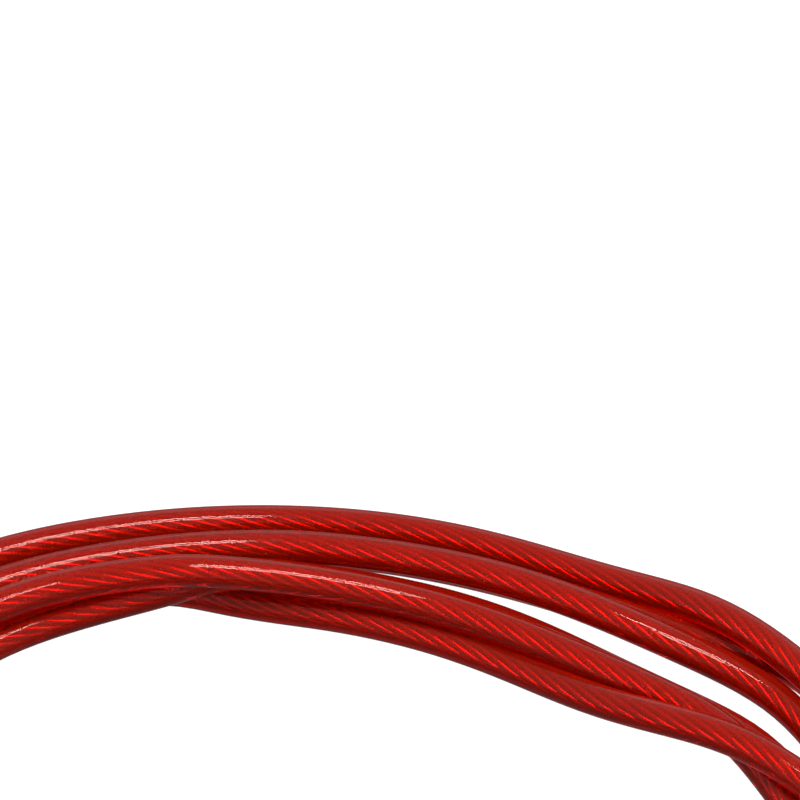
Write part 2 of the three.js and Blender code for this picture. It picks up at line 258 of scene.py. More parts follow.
def settled(points, freedom):
    """The line after its turns have pushed each other a diameter apart and sunk towards the floor. Points nearer
    than NEIGHBOUR along the line don't push each other, and the sinking stops for the last rounds."""
    rounds, sinking, refresh = 240, 192, 12
    place = points.copy()
    apart = round(NEIGHBOUR / np.linalg.norm(points[1] - points[0]))
    weight = freedom[:, None]
    for turn in range(rounds):
        if turn % refresh == 0:
            i, j = near_pairs(place, PAIR_REACH, apart)
        offset = place[i] - place[j]
        distance = np.maximum(np.linalg.norm(offset, axis=1), 1e-6)
        lack = np.maximum(KEPT_APART - distance, 0)
        push = offset * (0.5 * lack / distance)[:, None]
        move = np.zeros_like(place)
        count = np.ones(len(place))
        np.add.at(move, i, push)
        np.add.at(move, j, -push)
        np.add.at(count, i, lack > 0)
        np.add.at(count, j, lack > 0)
        move /= np.sqrt(count)[:, None]
        move[:, 2] -= SINK_STEP * (turn < sinking)
        place = place + softened(move * weight, 2)
        place += (softened(place, 4) - place) * 0.5 * weight
        place[:, 2] = np.maximum(place[:, 2], CABLE_R)
    return place


def cable_routes():
    """The main cable from its boot to the junction, and the tail from there to the plug's boot."""
    coil, held = coil_route(Oval(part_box("cable_coil")))
    step = CABLE_D / 2
    lead = resampled(np.array(LEAD) * MM, step)
    tail = resampled(np.array(TAIL[::-1]) * MM, step)
    whole = np.concatenate([lead, coil, tail])
    free = np.where(held, FAR_SIDE_FREEDOM, 1.0)
    freedom = np.concatenate([np.zeros(len(lead)), free, np.zeros(len(tail))])
    distance = along(whole)
    where = np.linspace(0, distance[-1], round(distance[-1] / step) + 1)
    even = np.stack([np.interp(where, distance, whole[:, k]) for k in range(3)], 1)
    freedom = softened(np.interp(where, distance, freedom), 12)
    line = settled(softened(even, 6), freedom)
    cut = len(line) - len(tail)
    return line[: cut + 1], line[cut:]


# ---------------------------------------------------------------- meshes


def frames(points):
    """A steady pair of normals along a line, carried without twist."""
    tangent = np.gradient(points, axis=0)
    tangent /= np.linalg.norm(tangent, axis=1)[:, None]
    up = np.array([0, 0, 1.0])
    normal = up - tangent[0] * (up @ tangent[0])
    normals = [normal / np.linalg.norm(normal)]
    for k in range(1, len(points)):
        normal = normals[-1] - tangent[k] * (normals[-1] @ tangent[k])
        normals.append(normal / np.linalg.norm(normal))
    normals = np.array(normals)
    return normals, np.cross(tangent, normals)


def rings_mesh(rings, first=0):
    """Vertices and faces of a tube through rings of points, as one array and one face list."""
    count, sides = rings.shape[:2]
    a = np.arange(count - 1)[:, None] * sides
    k = np.arange(sides)[None]
    after = (k + 1) % sides
    faces = np.stack([a + k, a + after, a + sides + after, a + sides + k], 2).reshape(-1, 4) + first
    return rings.reshape(-1, 3), faces


def tube_rings(points, radius, sides, normals, binormals):
    """Rings of points round a line, one at each of its points."""
    angle = np.linspace(0, FULL_TURN, sides, endpoint=False)[None, :, None]
    return points[:, None] + radius * (np.cos(angle) * normals[:, None] + np.sin(angle) * binormals[:, None])


def in_scene(name, data):
    """A new object in the scene that holds the data."""
    piece = bpy.data.objects.new(name, data)
    bpy.context.scene.collection.objects.link(piece)
    return piece


def new_piece(name, vertices, faces, material, smooth=True):
    mesh = bpy.data.meshes.new(name)
    mesh.from_pydata([tuple(v) for v in np.asarray(vertices).tolist()], [], [tuple(f) for f in faces])
    mesh.validate()
    if smooth:
        mesh.polygons.foreach_set("use_smooth", [True] * len(mesh.polygons))
    mesh.materials.append(material)
    mesh.update()
    return in_scene(name, mesh)


def jacket(name, line, material):
    """The cable's plastic jacket. Both ends are closed by the boots and by the cable's other length."""
    points = resampled(line, JACKET_STEP)
    vertices, faces = rings_mesh(tube_rings(points, CABLE_R, JACKET_SIDES, *frames(points)))
    return new_piece(name, vertices, faces.tolist(), material)


def rope(name, line, material, start=0.0):
    """Six strands laid round a seventh. The twist carries on from the distance that start gives."""
    points = resampled(line, ROPE_STEP)
    normals, binormals = frames(points)
    strand_r = ROPE_D / 6
    turn = (along(points) + start) / ROPE_LAY * FULL_TURN
    vertices, faces, count = [], [], 0
    for k in range(OUTER_STRANDS + 1):
        reach = 0 if k == OUTER_STRANDS else 2 * strand_r
        angle = turn + k * FULL_TURN / OUTER_STRANDS
        spoke = np.cos(angle)[:, None] * normals + np.sin(angle)[:, None] * binormals
        centre = points + reach * spoke
        across = np.cross(np.gradient(centre, axis=0), spoke) / ROPE_STEP
        v, f = rings_mesh(tube_rings(centre, strand_r, STRAND_SIDES, spoke, across), count)
        vertices.append(v)
        faces += f.tolist()
        count += len(v)
    return new_piece(name, np.concatenate(vertices), faces, material)


# ---------------------------------------------------------------- materials


def node_material(name):
    material = bpy.data.materials.new(name)
    material.use_nodes = True
    tree = material.node_tree
    shader = tree.nodes["Principled BSDF"]
    return material, tree, shader


def link(tree, source, target):
    tree.links.new(source, target)


def add_noise(tree, scale, detail=3.0, stretch=None):
    """A noise pattern in the piece's own coordinates, in repeats per metre."""
    place = tree.nodes.new("ShaderNodeTexCoord")
    noise = tree.nodes.new("ShaderNodeTexNoise")
    noise.inputs["Scale"].default_value = scale
    noise.inputs["Detail"].default_value = detail
    source = place.outputs["Object"]
    if stretch:
        mapping = tree.nodes.new("ShaderNodeMapping")
        mapping.inputs["Scale"].default_value = stretch
        link(tree, source, mapping.inputs["Vector"])
        source = mapping.outputs["Vector"]
    link(tree, source, noise.inputs["Vector"])
    return noise.outputs["Fac"]


def spread(tree, value, low, high):
    """The value's middle range carried over to low..high."""
    node = tree.nodes.new("ShaderNodeMapRange")
    node.inputs["From Min"].default_value = 0.3
    node.inputs["From Max"].default_value = 0.7
    node.inputs["To Min"].default_value = low
    node.inputs["To Max"].default_value = high
    link(tree, value, node.inputs["Value"])
    return node.outputs["Result"]


def colours(tree, value, low, high):
    """A mix of two colours by the value."""
    node = tree.nodes.new("ShaderNodeMix")
    node.data_type = "RGBA"
    node.inputs["A"].default_value = (*low, 1)
    node.inputs["B"].default_value = (*high, 1)
    link(tree, value, node.inputs["Factor"])
    return node.outputs["Result"]


def bump(tree, shader, value, distance, strength):
    node = tree.nodes.new("ShaderNodeBump")
    node.inputs["Distance"].default_value = distance
    node.inputs["Strength"].default_value = strength
    link(tree, value, node.inputs["Height"])
    link(tree, node.outputs["Normal"], shader.inputs["Normal"])


def surface(name, low, high, rough, scale, metallic=0.0, grain=0.0, stretch=None):
    """An opaque material whose tone and roughness vary with a pattern. The fine grain is a bump in millimetres."""
    material, tree, shader = node_material(name)
    shader.inputs["Metallic"].default_value = metallic
    link(tree, colours(tree, add_noise(tree, scale / 6, 4.0, stretch), low, high), shader.inputs["Base Color"])
    link(tree, spread(tree, add_noise(tree, scale / 3, 4.0, stretch), *rough), shader.inputs["Roughness"])
    if grain:
        bump(tree, shader, add_noise(tree, scale, 2.0, stretch), grain * MM, 0.6)
    return material


def vinyl():
    """Glossy see-through red vinyl: clear at the surface, and red by its depth."""
    material, tree, shader = node_material("red_vinyl")
    shader.inputs["Base Color"].default_value = (0.86, 0.024, 0.004, 1)
    shader.inputs["Specular Tint"].default_value = (0.38, 0.27, 0.25, 1)
    shader.inputs["Transmission Weight"].default_value = 0.86
    shader.inputs["IOR"].default_value = 1.5
    rough = spread(tree, add_noise(tree, 150, 1.0), 0.045, 0.06)
    link(tree, rough, shader.inputs["Roughness"])
    bump(tree, shader, add_noise(tree, 120, 1.0), 0.00003, 0.2)
    absorb = tree.nodes.new("ShaderNodeVolumeAbsorption")
    absorb.inputs["Color"].default_value = (0.96, 0.03, 0.01, 1)
    absorb.inputs["Density"].default_value = 2400
    link(tree, absorb.outputs["Volume"], tree.nodes["Material Output"].inputs["Volume"])
    return material


def strand_steel():
    """Bright steel for the rope's strands, dull enough not to glare through the jacket."""
    material, tree, shader = node_material("strand_steel")
    tone = add_noise(tree, 500, 1.0)
    link(tree, colours(tree, tone, (0.36, 0.35, 0.34), (0.5, 0.49, 0.47)), shader.inputs["Base Color"])
    shader.inputs["Metallic"].default_value = 1.0
    link(tree, spread(tree, add_noise(tree, 700, 1.0), 0.24, 0.3), shader.inputs["Roughness"])
    return material


# ---------------------------------------------------------------- the lock body

# Dimensions of the lock, in millimetres, as in the CAD source
GAP = 0.3
BODY_HALF = 25
BODY_W = 24
BODY_H = 20
WALL = 1.2
LOW_CORNER = 1.5
HIGH_CORNER = 4.5
CAP_END = 31
CAP_BEVEL = 1.2
DIAL_X = (-2, 7, 16)
DIAL_R = 9.7
DIAL_W = 5.4
HUB_R = 6.2
GROOVE_R = 0.7
PIN_R = 2.4
TOOTH_R = 5
GATE_W = 2.8
SLEEVE_R = 3.8
SEAT_R = 3.4
BULKHEAD_X = -8.6
RESET_X = -17
RESET_TRAVEL = 2
SCREW_SPOTS = ((-21.5, -8.3), (-21.5, 8.3), (22.4, -8.3), (22.4, 8.3))
SCREW_BORE = 1.3
SCREW_HEAD_BORE = 2.2
SCREW_HEAD_DEEP = 1.8
POST_R = 2.6
BULKHEAD_W = 21.6
MARK_X = BULKHEAD_X + 2
MARK_DEEP = 0.35
SEAL_R = 6.4
SEAL_THICK = 0.72
SEAL_GROOVE = (5.6, 7.2, 1.2)  # inner and outer radius, depth
SLIDER_HALF = 3
SLIDER_W = 4
PLUG_X0 = CAP_END + GAP
PLUG_X1 = PLUG_X0 + 19
BOOT_LENGTH = 13

# Fine detail that only this script has, in millimetres
JOIN = 1  # how far posts and bulkhead start inside the walls, and cutting tools outside a piece
SEAM = 0.05
FOOT_X = (-14, -11, -8, -5)
FOOT_DEEP = 0.35
WINDOW_HALF = 7.9
WINDOW_CORNER = 0.5
SLIDER_PITCH = 1.6
SLIDER_GROOVE_R = 0.42
FIGURE_H = 3.5
FIGURE_RAISED = 0.06
FIGURE_WIDENED = 0.06
FIGURE_STRIPS = 10
FLANGE_R = 8
GRIP_R = 7
GRIP_GROOVE = 0.32
FLUTES = 40
FLUTE_DEEP = 0.16
RIB_DEEP = 0.42
FONT_SHARE = 0.7  # a figure's height as a share of the font's size
RIM_R = 0.55
SOFT_EDGE = 0.1


def closed_rings(name, rings, material, capped=True):
    """A closed tube of rings, in millimetres: capped at both ends, or joined end to end."""
    rings = np.asarray(rings) * MM
    count, sides = rings.shape[:2]
    if not capped:
        rings = np.concatenate([rings, rings[:1]])
    vertices, faces = rings_mesh(rings)
    faces = faces.tolist()
    if capped:
        faces.append(list(range(sides))[::-1])
        faces.append([(count - 1) * sides + k for k in range(sides)])
    piece = new_piece(name, vertices, faces, material)
    cleaned(piece)
    return piece


def cleaned(piece):
    """Welds doubled points and turns all faces outwards."""
    mesh = bmesh.new()
    mesh.from_mesh(piece.data)
    bmesh.ops.remove_doubles(mesh, verts=mesh.verts, dist=1e-7)
    bmesh.ops.dissolve_degenerate(mesh, edges=mesh.edges, dist=1e-7)
    bmesh.ops.recalc_face_normals(mesh, faces=mesh.faces)
    mesh.to_mesh(piece.data)
    mesh.free()


def turned(name, profile, material, sides=96, relief=None):
    """A piece turned about the dial axis from pairs of (x, radius). The profile starts and ends on the axis, or
    else closes on itself. The relief takes (x, radius, angles) and gives how far the surface is cut back."""
    angle = np.linspace(0, FULL_TURN, sides, endpoint=False)
    rings = []
    for x, r in profile:
        reach = np.full(sides, float(r))
        if relief is not None and r > 0:
            reach = np.maximum(reach - relief(x, r, angle), 0.01)
        station = np.full(sides, float(x))
        rings.append(np.stack([station, reach * np.sin(angle), AXIS_Z + reach * np.cos(angle)], 1))
    return closed_rings(name, rings, material, capped=profile[0][1] == 0)


def outline(inset=0.0, offset=0.0, steps=14):
    """The body's section as points (y, z), moved inwards by the offset."""
    half, top = BODY_W / 2 - inset, BODY_H - inset
    low, high = LOW_CORNER - inset / 2, HIGH_CORNER - inset / 2
    corners = (
        (half - low, inset + low, low, -90),
        (half - high, top - high, high, 0),
        (high - half, top - high, high, 90),
        (low - half, inset + low, low, 180),
    )
    points = []
    for y, z, radius, start in corners:
        for k in range(steps + 1):
            a = math.radians(start + 90 * k / steps)
            reach = radius - offset
            points.append((y + reach * math.cos(a), z + reach * math.sin(a)))
    return points


def quarter_round(steps):
    """Pairs of (distance in from the end, drop from the side) for a rounded edge of radius 1, from the end on."""
    angle = [math.pi / 2 * k / steps for k in range(steps + 1)]
    return [(1 - math.cos(a), 1 - math.sin(a)) for a in angle]


def bar(name, x0, x1, material, inset=0.0, round_end=0.0):
    """A length of the body's section along X, with rounded ends where asked."""
    stations = [(x0, 0.0), (x1, 0.0)]
    if round_end:
        edge = quarter_round(8)
        stations = [(x0 + round_end * into, round_end * drop) for into, drop in edge]
        stations += [(x1 - round_end * into, round_end * drop) for into, drop in edge[::-1]]
    rings = [[(x, y, z) for y, z in outline(inset, offset)] for x, offset in stations]
    return closed_rings(name, rings, material)


def block(x0, x1, y0, y1, z0, z1):
    """A cutting or added block between two corners."""
    ring = ((y0, z0), (y1, z0), (y1, z1), (y0, z1))
    return closed_rings("tool", [[(x, y, z) for y, z in ring] for x in (x0, x1)], PLASTIC)


def slab(z0, z1):
    """A cutting block longer and wider than the body."""
    return block(-40, 40, -20, 20, z0, z1)


def rod(x0, x1, radius):
    """A round bar on the dial axis."""
    return turned("tool", [(x0, 0), (x0, radius), (x1, radius), (x1, 0)], PLASTIC)


def keyway(x0, x1):
    """The slot over the dial axis that the plug's teeth pass through."""
    return block(x0, x1, -GATE_W / 2, GATE_W / 2, AXIS_Z, AXIS_Z + TOOTH_R + GAP)


def upright(x, y, z0, z1, radius):
    """A round bar along Z."""
    angle = np.linspace(0, FULL_TURN, 48, endpoint=False)
    ring = np.stack([x + radius * np.cos(angle), y + radius * np.sin(angle)], 1)
    return closed_rings("tool", [[(px, py, z) for px, py in ring] for z in (z0, z1)], PLASTIC)


def shaded(piece):
    """Smooth shading that leaves flats flat, as the last modifier."""
    piece.data.polygons.foreach_set("use_smooth", [True] * len(piece.data.polygons))
    piece.modifiers.new("shading", "WEIGHTED_NORMAL").keep_sharp = True


def bevelled(piece, width, angle, segments):
    """Rounded edges wherever two faces meet at more than the angle. The width is in millimetres."""
    bevel = piece.modifiers.new("edges", "BEVEL")
    bevel.width = width * MM
    bevel.segments = segments
    bevel.limit_method = "ANGLE"
    bevel.angle_limit = math.radians(angle)


def finished(piece):
    """The piece with its modifiers applied."""
    graph = bpy.context.evaluated_depsgraph_get()
    mesh = bpy.data.meshes.new_from_object(piece.evaluated_get(graph))
    piece.modifiers.clear()
    piece.data = mesh
    return piece


def combined(piece, operation, tools):
    """The piece after each tool is added to it, cut from it or kept in common with it."""
    for tool in tools:
        step = piece.modifiers.new("step", "BOOLEAN")
        step.operation = operation
        step.object = tool
        step.solver = "EXACT"
    finished(piece)
    for tool in tools:
        bpy.data.objects.remove(tool)
    return piece


def eased(piece, width=0.22, angle=32, segments=3):
    """Fine rounded edges, with the flats left flat."""
    mesh = bmesh.new()
    mesh.from_mesh(piece.data)
    bmesh.ops.dissolve_limit(mesh, angle_limit=math.radians(0.5), verts=mesh.verts, edges=mesh.edges)
    mesh.to_mesh(piece.data)
    mesh.free()
    bevelled(piece, width, angle, segments)
    shaded(piece)
    return finished(piece)


def placed(piece, nodes, body):
    """The piece, with the CAD nodes that it stands for hidden, set to ride on a body."""
    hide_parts(*nodes)
    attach(piece, body)
    return piece


def refined(node, body, material):
    """A finer copy of a CAD node, with its edges eased."""
    piece = in_scene(node + "_fine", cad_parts[node].data.copy())
    piece.data.materials.clear()
    piece.data.materials.append(material)
    cleaned(piece)
    eased(piece, 0.12, 40, 2)
    return placed(piece, [node], body)


def housing_shell():
    """The body's hollow shell with its bulkhead, screw posts and bore, before it is split in two."""
    shell = bar("housing", -BODY_HALF, BODY_HALF, PLASTIC)
    combined(shell, "DIFFERENCE", [bar("tool", WALL - BODY_HALF, BODY_HALF - WALL, PLASTIC, WALL)])
    low, high = JOIN, BODY_H - JOIN
    added = [block(BULKHEAD_X - 1, BULKHEAD_X + 1, -BULKHEAD_W / 2, BULKHEAD_W / 2, low, high)]
    added += [upright(x, y, low, high, POST_R) for x, y in SCREW_SPOTS]
    combined(shell, "UNION", added)
    combined(shell, "DIFFERENCE", [rod(-CAP_END, CAP_END, SLEEVE_R + GAP), keyway(BODY_HALF - 3, CAP_END)])
    return combined(shell, "INTERSECT", [bar("tool", -BODY_HALF, BODY_HALF, PLASTIC)])


def rounded_slot(x0, x1, y, z0, z1, corner=0.3, steps=6):
    """An upright cutting block from -y to y, with rounded corners."""
    y0, y1 = -y, y
    ring = []
    for cx, cy, start in ((x1, y0, -90), (x1, y1, 0), (x0, y1, 90), (x0, y0, 180)):
        mx = cx + (corner if cx == x0 else -corner)
        my = cy + (corner if cy == y0 else -corner)
        for k in range(steps + 1):
            a = math.radians(start + 90 * k / steps)
            ring.append((mx + corner * math.cos(a), my + corner * math.sin(a)))
    return closed_rings("tool", [[(x, y, z) for x, y in ring] for z in (z0, z1)], PLASTIC)


def build_housing():
    """The two shells, parted at the dial axis, and the line that the figures are read against."""
    lower, upper = housing_shell(), housing_shell()
    lower.name, upper.name = "shell_lower", "shell_upper"
    combined(lower, "DIFFERENCE", [slab(AXIS_Z - SEAM, 40)])
    combined(upper, "DIFFERENCE", [slab(-5, AXIS_Z + SEAM)])

    holes = [upright(x, y, -JOIN, AXIS_Z + JOIN, SCREW_BORE) for x, y in SCREW_SPOTS]
    holes += [upright(x, y, -JOIN, SCREW_HEAD_DEEP, SCREW_HEAD_BORE) for x, y in SCREW_SPOTS]
    holes += [rounded_slot(x - 0.4, x + 0.4, 8, -0.5, FOOT_DEEP) for x in FOOT_X]
    combined(lower, "DIFFERENCE", holes)

    low, high = BODY_H - 3, BODY_H + JOIN
    window = DIAL_W / 2 + GAP
    holes = [rounded_slot(x - window, x + window, WINDOW_HALF, low, high, WINDOW_CORNER) for x in DIAL_X]
    slot_end = RESET_X + SLIDER_HALF + (RESET_TRAVEL + GAP)
    holes.append(rounded_slot(RESET_X - SLIDER_HALF - GAP, slot_end, SLIDER_W / 2 + GAP, low, high))
    holes.append(rounded_slot(MARK_X - 0.5, MARK_X + 0.5, 2.5, BODY_H - MARK_DEEP, high))
    combined(upper, "DIFFERENCE", holes)

    placed(eased(lower), ["housing_lower"], "body")
    placed(eased(upper), ["housing_upper"], "body")
    mark = rounded_slot(MARK_X - 0.5, MARK_X + 0.5, 2.5, BODY_H - MARK_DEEP, BODY_H - 0.04)
    mark.name = "index_bar"
    mark.data.materials[0] = IVORY
    placed(mark, ["index_mark"], "body")


def build_caps():
    """The cap at the fixed end, the cap with the plug's socket, and the seal round the socket."""
    fixed = bar("cap_fixed", -CAP_END, -BODY_HALF - SEAM, NICKEL, round_end=CAP_BEVEL)
    combined(fixed, "DIFFERENCE", [rod(-CAP_END - JOIN, -BODY_HALF + JOIN, SEAT_R)])
    placed(eased(fixed), ["end_cap_fixed"], "body")

    socket = bar("cap_socket", BODY_HALF + SEAM, CAP_END, NICKEL, round_end=CAP_BEVEL)
    x0, x1 = BODY_HALF - JOIN, CAP_END + JOIN
    inner, outer, deep = SEAL_GROOVE
    section = [(CAP_END - deep, inner), (CAP_END - deep, outer), (x1, outer), (x1, inner)]
    tools = [rod(x0, x1, PIN_R + 2 * GAP), keyway(x0, x1), turned("tool", section, NICKEL)]
    combined(socket, "DIFFERENCE", tools)
    placed(eased(socket, 0.15), ["end_cap_socket"], "body")

    seal_x = CAP_END - 0.78
    lip = [
        (seal_x + SEAL_THICK * math.cos(a), SEAL_R + SEAL_THICK * math.sin(a))
        for a in np.linspace(0, FULL_TURN, 24, endpoint=False)
    ]
    placed(turned("seal_ring", lip, RUBBER), ["socket_seal"], "body")


# ---------------------------------------------------------------- dials


def groove_depth(x, radius, angle):
    """How far the ten thumb grooves cut a dial's surface back."""
    pitch = FULL_TURN / 10
    across = (np.mod(angle, pitch) - pitch / 2) * DIAL_R
    cut = np.sqrt(np.maximum(GROOVE_R**2 - across**2, 0)) - SOFT_EDGE
    soft = SOFT_EDGE * np.exp(-((np.abs(across) - GROOVE_R) / 0.15) ** 2)
    return np.maximum(np.maximum(cut, soft * 0.5) - (DIAL_R - radius), 0)


def figure_mesh(number):
    """A figure as flat type, in millimetres: x to the right, y up and z out of the page."""
    text = bpy.data.curves.new("figure", "FONT")
    text.body = str(number)
    text.size = FIGURE_H / FONT_SHARE
    text.align_x = "CENTER"
    text.extrude = FIGURE_RAISED
    text.offset = FIGURE_WIDENED
    text.resolution_u = 6
    holder = in_scene("figure", text)
    mesh = bpy.data.meshes.new_from_object(holder.evaluated_get(bpy.context.evaluated_depsgraph_get()))
    bpy.data.objects.remove(holder)
    return mesh


def digits(name, x, material):
    """The figures 0 to 9 round a dial, raised slightly from it. Each is cut into strips, so that it can bend."""
    whole = bmesh.new()
    for k in range(10):
        part = bmesh.new()
        part.from_mesh(figure_mesh(k))
        bmesh.ops.remove_doubles(part, verts=part.verts, dist=1e-4)
        places = np.array([v.co for v in part.verts])
        (left, low, _), (right, high, _) = places.min(0).tolist(), places.max(0).tolist()
        for step in range(1, FIGURE_STRIPS):
            level = low + (high - low) * step / FIGURE_STRIPS
            everything = part.verts[:] + part.edges[:] + part.faces[:]
            bmesh.ops.bisect_plane(part, geom=everything, plane_co=(0, level, 0), plane_no=(0, 1, 0))
        for v in part.verts:
            turn = k * FULL_TURN / 10 + (v.co.y - (low + high) / 2) / DIAL_R
            reach = DIAL_R + v.co.z
            across = x + v.co.x - (left + right) / 2
            v.co = Vector((across, reach * math.sin(turn), AXIS_Z + reach * math.cos(turn))) * MM
        scratch = bpy.data.meshes.new("scratch")
        part.to_mesh(scratch)
        part.free()
        whole.from_mesh(scratch)
        bpy.data.meshes.remove(scratch)
    bmesh.ops.recalc_face_normals(whole, faces=whole.faces)
    mesh = bpy.data.meshes.new(name)
    whole.to_mesh(mesh)
    whole.free()
    mesh.materials.append(material)
    return in_scene(name, mesh)


def build_dials():
    """The three wheels with their thumb grooves, and the figures on them."""
    inner, shoulder, edge = HUB_R + 0.1, DIAL_R - 1.4, DIAL_R - RIM_R - 0.2
    rounding = quarter_round(6)
    for k, x in enumerate(DIAL_X):
        x0, x1 = x - DIAL_W / 2, x + DIAL_W / 2
        profile = [(x0, inner), (x0, shoulder), (x0, edge)]
        profile += [(x0 + RIM_R * into, DIAL_R - RIM_R * drop) for into, drop in rounding]
        profile += [(x1 - RIM_R * into, DIAL_R - RIM_R * drop) for into, drop in rounding[::-1]]
        profile += [(x1, edge), (x1, shoulder), (x1, inner)]
        wheel = turned(f"wheel_{k + 1}_rim", profile, DIAL, 360, groove_depth)
        shaded(wheel)
        finished(wheel)
        placed(wheel, [f"dial_{k + 1}"], f"wheel_{k + 1}")
        figures = digits(f"wheel_{k + 1}_figures", x, IVORY)
        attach(figures, f"wheel_{k + 1}")


def build_slider():
    """The setting slider: a low block with three finger grooves across it."""
    x0, x1 = RESET_X - SLIDER_HALF, RESET_X + SLIDER_HALF
    top, bottom = BODY_H + 0.8, BODY_H - 2.6
    shape = [(x0, bottom), (x0, top)]
    for middle in (RESET_X - SLIDER_PITCH, RESET_X, RESET_X + SLIDER_PITCH):
        for turn in np.linspace(math.pi, 0, 9):
            shape.append((middle + SLIDER_GROOVE_R * math.cos(turn), top - SLIDER_GROOVE_R * math.sin(turn)))
    shape += [(x1, top), (x1, bottom)]
    rings = [[(x, y, z) for x, z in shape] for y in (-SLIDER_W / 2, SLIDER_W / 2)]
    slider = eased(closed_rings("slider_block", rings, NICKEL), 0.1, 50, 2)
    placed(slider, ["reset_slider"], "setting_slider")


# ---------------------------------------------------------------- plug and boots


def smooth_step(value, low, high):
    """0 below low, 1 above high, and an even curve between."""
    t = min(max((value - low) / (high - low), 0), 1)
    return t * t * (3 - 2 * t)


def knurl(x, radius, angle):
    """Shallow flutes round the plug's wide flange, fading out at both of its edges."""
    start, end = PLUG_X0 + 1.3, PLUG_X0 + 4.4
    span = smooth_step(x, start, start + 0.5) * (1 - smooth_step(x, end, end + 0.5))
    return FLUTE_DEEP * span * (1 + np.cos(angle * FLUTES)) * (radius > GRIP_R + 0.5)


def build_plug():
    """The plug's grip: a fluted flange, a body with three grooves and a rounded end, bored for the pin and boot."""
    lip_r, slope = 0.9, 0.08
    outer = [(PLUG_X0, FLANGE_R - 0.8)]
    for a in np.linspace(0.1, math.pi / 2, 8):
        outer.append((PLUG_X0 + lip_r * (1 - math.cos(a)), FLANGE_R + lip_r * (math.sin(a) - 1)))
    outer += [(PLUG_X0 + s, FLANGE_R) for s in np.linspace(1.2, 5, 17)]
    for t in np.linspace(0, 1, 10):
        outer.append((PLUG_X0 + 5.2 + 1.8 * t, FLANGE_R - (FLANGE_R - GRIP_R) * smooth_step(t, 0, 1)))
    for middle in (8.4, 10, 11.6):
        radius = GRIP_R - slope * (middle - 7)
        for c in np.linspace(-1, 1, 9):
            depth = GRIP_GROOVE * (1 + math.cos(c * math.pi)) / 2
            outer.append((PLUG_X0 + middle + 0.4 * c, radius - depth))
    outer += [(PLUG_X0 + s, 6.62 - 0.04 * (s - 12)) for s in (12.4, 13.5, 15, 16.6)]
    for a in np.linspace(0.15, math.pi / 2, 9):
        outer.append((PLUG_X1 - 2 * math.cos(a), 5 + 1.42 * math.cos(a * 0.98)))

    root = PLUG_X0 + 8
    inner = [(PLUG_X1, SEAT_R), (root + 1, SEAT_R), (root + 1, 0)]
    front = [(root + GAP, 0), (root + GAP, PIN_R + GAP), (PLUG_X0, PIN_R + GAP)]
    grip = turned("plug_grip", front + outer + inner, NICKEL, 240, knurl)
    shaded(grip)
    finished(grip)
    return placed(grip, ["plug_body"], "plug")


def build_boot(name, node, start, direction, body):
    """A tapered rubber strain relief with eleven soft ribs, open at its tip for the cable."""
    seat, bore, back = SEAT_R - GAP, 1.66, -4
    first_rib, pitch = 2.4, 0.95
    shape = [(back, seat), (GAP, seat), (GAP, 4.15), (0.55, 4.4), (1.8, 4.4), (2.1, 4.2)]
    for s in np.arange(first_rib, BOOT_LENGTH - 0.3, 0.1):
        taper = float(np.interp(s, (2, 3, 8, BOOT_LENGTH), (4.4, 3.6, 2.9, 2.3)))
        wave = 0.5 - 0.5 * math.cos((s - first_rib) / pitch * FULL_TURN)
        shape.append((s, taper - RIB_DEEP * (1 - wave**1.5) * (s > first_rib + 0.2)))
    shape += [(BOOT_LENGTH - 0.15, 2.2), (BOOT_LENGTH, 2.05), (BOOT_LENGTH, bore), (back, bore)]
    piece = turned(name, [(start + direction * s, r) for s, r in shape], RUBBER, 72)
    shaded(piece)
    finished(piece)
    return placed(piece, [node], body)


def carried_over(material, nodes):
    """A material and eased edges for the CAD nodes that are shown as they are. A CAD mesh has its corners split
    from face to face, so they are joined first."""
    for node in nodes:
        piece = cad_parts[node]
        piece.data.materials.clear()
        piece.data.materials.append(material)
        piece.modifiers.new("joined", "WELD").merge_threshold = 1e-6
        bevelled(piece, 0.08, 40, 2)
        shaded(piece)


PLASTIC = surface("graphite_plastic", (0.018, 0.019, 0.022), (0.032, 0.034, 0.038), (0.42, 0.58), 1400, grain=0.03)
NICKEL = surface("nickel_plate", (0.5, 0.49, 0.47), (0.6, 0.59, 0.57), (0.16, 0.28), 900, 1.0, 0.006, (0.06, 1, 1))
STEEL = surface("bright_steel", (0.42, 0.42, 0.43), (0.58, 0.58, 0.58), (0.25, 0.42), 1200, 1.0, 0.008, (0.2, 1, 1))
BRASS = surface("brass", (0.55, 0.38, 0.14), (0.68, 0.5, 0.22), (0.25, 0.42), 1100, 1.0, 0.008)
DIAL = surface("dial_plastic", (0.008, 0.008, 0.009), (0.018, 0.018, 0.02), (0.25, 0.4), 1800, grain=0.01)
IVORY = surface("ivory_paint", (0.72, 0.7, 0.64), (0.82, 0.8, 0.75), (0.35, 0.5), 2200, grain=0.01)
RUBBER = surface("black_rubber", (0.012, 0.012, 0.013), (0.024, 0.024, 0.025), (0.55, 0.75), 1600, grain=0.02)

build_housing()
build_caps()
build_dials()
plug_grip = build_plug()
plug_boot = build_boot("boot_plug", "plug_boot", PLUG_X1, 1, "plug")
cable_boot = build_boot("boot_cable", "cable_boot", -CAP_END, -1, "body")
build_slider()
for number in range(1, 5):
    refined(f"housing_screw_{number}", "body", STEEL)
carried_over(STEEL, ("core_sleeve", "ring_spacer_1", "ring_spacer_2", "thrust_washer", "detent_spring"))
carried_over(STEEL, ("ejector_spring", "cable_ferrule", "plug_ferrule", "plug_pin"))
carried_over(BRASS, ("code_ring_1", "code_ring_2", "code_ring_3", "ejector"))

# ---------------------------------------------------------------- the cable

main_line, tail_line = cable_routes()
VINYL = vinyl()
STRAND = strand_steel()
main_length = float(along(main_line)[-1])

